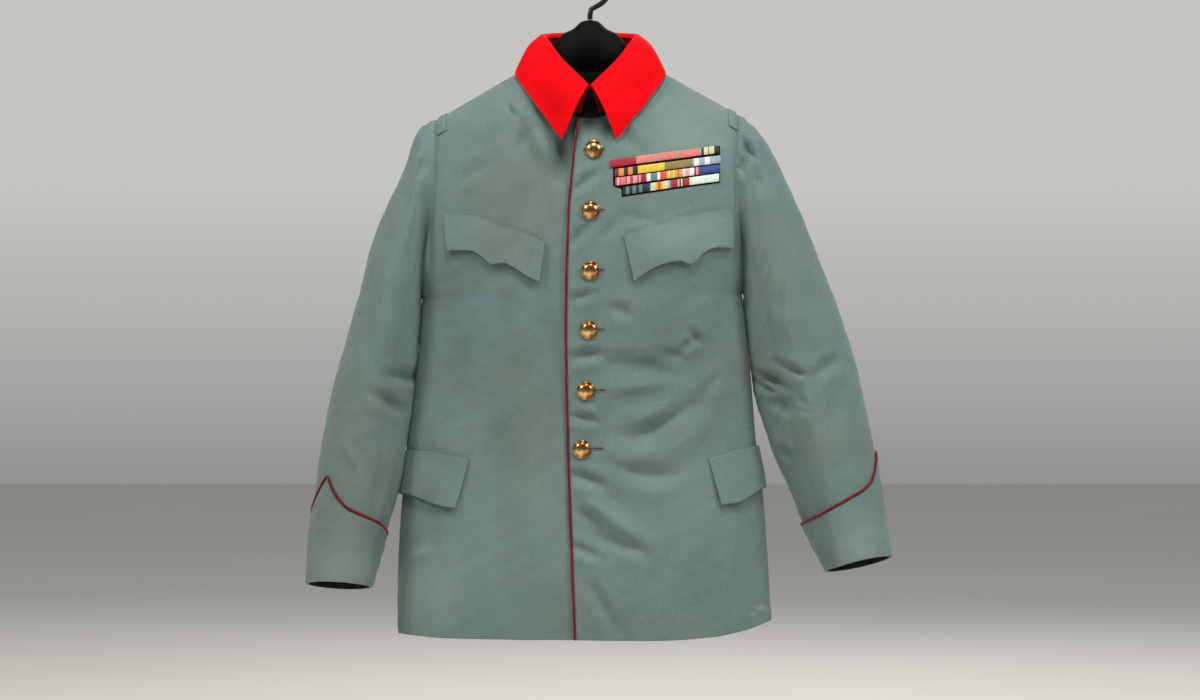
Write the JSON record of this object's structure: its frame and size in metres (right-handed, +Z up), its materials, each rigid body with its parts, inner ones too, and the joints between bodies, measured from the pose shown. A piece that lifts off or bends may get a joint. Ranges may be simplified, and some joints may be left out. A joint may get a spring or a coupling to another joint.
{
  "type": "military tunic on a hanger",
  "caption": "Grey-green military tunic, closed, with a scarlet turn-down collar, domed buttons, pocket flaps, ribbon bars and pointed cuffs, on a black hanger.",
  "frame": {"origin": "inner top of the hanger hook's bend, where it rests on its rail", "axes": "+X towards the wearer's left, -Y towards the front of the tunic, +Z up"},
  "size_m": [0.769, 0.1661, 0.8857],
  "materials": {
    "cloth": "smooth matte wool",
    "collar": "napped wool",
    "piping": "matte cord",
    "ribbon": "ribbed silk",
    "gilt": "polished",
    "hanger": "satin"
  },
  "bodies": {
    "root": {"back": "cloth", "button_1": "gilt", "button_2": "gilt", "button_3": "gilt", "button_4": "gilt", "button_5": "gilt", "button_6": "gilt", "collar_fall": "collar", "collar_stand": "collar", "cuff_left": "cloth", "cuff_piping_left": "piping", "cuff_piping_right": "piping", "cuff_right": "cloth", "edge_piping": "piping", "flap_breast_left": "cloth", "flap_breast_right": "cloth", "flap_hip_left": "cloth", "flap_hip_right": "cloth", "front_left": "cloth", "front_right": "cloth", "hanger_body": "hanger", "hanger_hook": "hanger", "ribbon_row_1": "ribbon", "ribbon_row_2": "ribbon", "ribbon_row_3": "ribbon", "ribbon_row_4": "ribbon", "shoulder_loop_left": "cloth", "shoulder_loop_right": "cloth", "sleeve_left_top": "cloth", "sleeve_left_under": "cloth", "sleeve_right_top": "cloth", "sleeve_right_under": "cloth"}
  },
  "joints": []
}
